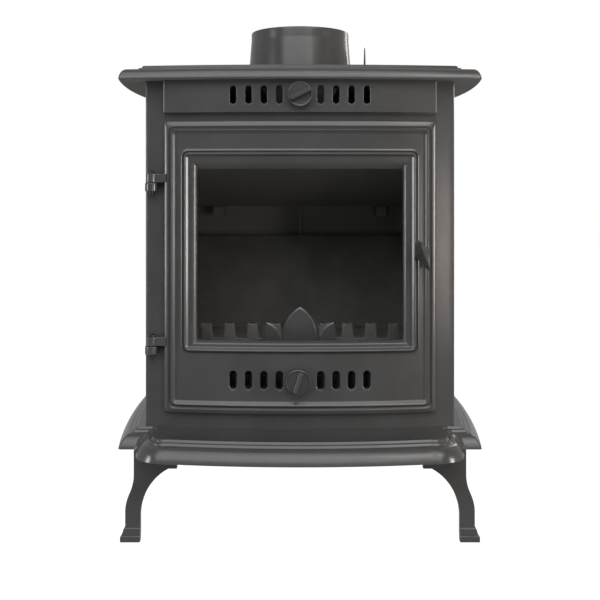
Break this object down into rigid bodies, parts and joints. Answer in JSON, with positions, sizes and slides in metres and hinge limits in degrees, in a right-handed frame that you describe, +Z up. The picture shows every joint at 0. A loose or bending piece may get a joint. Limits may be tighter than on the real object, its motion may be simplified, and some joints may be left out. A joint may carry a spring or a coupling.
{
  "type": "cast iron wood stove",
  "caption": "Cast iron wood stove with a bowed glazed door, slotted air controls, a flue collar with damper and curved legs.",
  "frame": {"origin": "on the floor below the middle of the stove's box", "axes": "+X to the viewer's right, +Y to the back, +Z up along the flue"},
  "size_m": [0.5, 0.444, 0.688],
  "materials": {
    "stove_iron": "satin graphite stove paint on cast iron",
    "firebox_iron": "matt dark cast iron",
    "blackened_steel": "blackened steel",
    "sheet_steel": "dull sheet steel",
    "clear_glass": "clear heat-proof glass",
    "fibre_rope": "dark fibre rope"
  },
  "bodies": {
    "stove": {"ash_pan": "sheet_steel", "ash_runner_left": "sheet_steel", "ash_runner_right": "sheet_steel", "back_liner": "firebox_iron", "back_plate": "stove_iron", "baffle_plate": "firebox_iron", "base_plate": "stove_iron", "collar_bolts": "blackened_steel", "firebox_floor": "firebox_iron", "flue_collar": "stove_iron", "front_frame": "stove_iron", "grate": "firebox_iron", "latch_keeper": "blackened_steel", "leg_front_left": "stove_iron", "leg_front_right": "stove_iron", "leg_rear_left": "stove_iron", "leg_rear_right": "stove_iron", "log_fence": "firebox_iron", "side_liner_left": "firebox_iron", "side_liner_right": "firebox_iron", "side_plate_left": "stove_iron", "side_plate_right": "stove_iron", "tie_rod_front_left": "blackened_steel", "tie_rod_front_right": "blackened_steel", "tie_rod_nut_front_left": "blackened_steel", "tie_rod_nut_front_right": "blackened_steel", "tie_rod_nut_rear_left": "blackened_steel", "tie_rod_nut_rear_right": "blackened_steel", "tie_rod_rear_left": "blackened_steel", "tie_rod_rear_right": "blackened_steel", "top_plate": "stove_iron", "upper_guide_bottom": "blackened_steel", "upper_guide_top": "blackened_steel", "upper_vent_panel": "stove_iron", "vent_panel_screws": "blackened_steel"},
    "door": {"door_frame": "stove_iron", "door_glass": "clear_glass", "glass_gasket": "fibre_rope", "glass_clip_screws": "blackened_steel", "door_rope_seal": "fibre_rope", "hinge_pin_upper": "blackened_steel", "hinge_pin_lower": "blackened_steel", "lower_guide_top": "blackened_steel", "lower_guide_bottom": "blackened_steel", "glass_clip_bottom_left": "blackened_steel", "glass_clip_bottom_right": "blackened_steel", "glass_clip_top_left": "blackened_steel", "glass_clip_top_right": "blackened_steel"},
    "handle": {"handle_lever": "stove_iron", "handle_spindle": "blackened_steel", "latch_tongue": "blackened_steel"},
    "upper_slider": {"upper_shutter": "blackened_steel", "upper_knob_stud": "blackened_steel"},
    "upper_knob": {"upper_knob": "stove_iron"},
    "lower_slider": {"lower_shutter": "blackened_steel", "lower_knob_stud": "blackened_steel"},
    "lower_knob": {"lower_knob": "stove_iron"},
    "damper": {"damper_spindle": "blackened_steel", "damper_vane": "firebox_iron", "damper_lever": "stove_iron"}
  },
  "joints": [
    {"name": "door_swing", "type": "hinge", "parent": "stove", "child": "door", "pos_m": [-0.196, -0.13354, 0.358], "axis": [0, 0, -1], "range_deg": [0, 150]},
    {"name": "handle_turn", "type": "hinge", "parent": "door", "child": "handle", "pos_m": [0.159, -0.13, 0.37], "axis": [0, -1, 0], "range_deg": [0, 85]},
    {"name": "upper_air_slide", "type": "slide", "parent": "stove", "child": "upper_slider", "axis": [1, 0, 0], "range_m": [-0.0101, 0]},
    {"name": "upper_knob_turn", "type": "hinge", "parent": "upper_slider", "child": "upper_knob", "pos_m": [0, -0.155, 0.578], "axis": [0, -1, 0], "range_deg": [-90, 90]},
    {"name": "lower_air_slide", "type": "slide", "parent": "door", "child": "lower_slider", "axis": [1, 0, 0], "range_m": [-0.0077, 0.0024]},
    {"name": "lower_knob_turn", "type": "hinge", "parent": "lower_slider", "child": "lower_knob", "pos_m": [-0.0024, -0.155, 0.206], "axis": [0, -1, 0], "range_deg": [-90, 90]},
    {"name": "damper_turn", "type": "hinge", "parent": "stove", "child": "damper", "pos_m": [0, 0.047, 0.633], "axis": [1, 0, 0], "range_deg": [0, 90]}
  ]
}
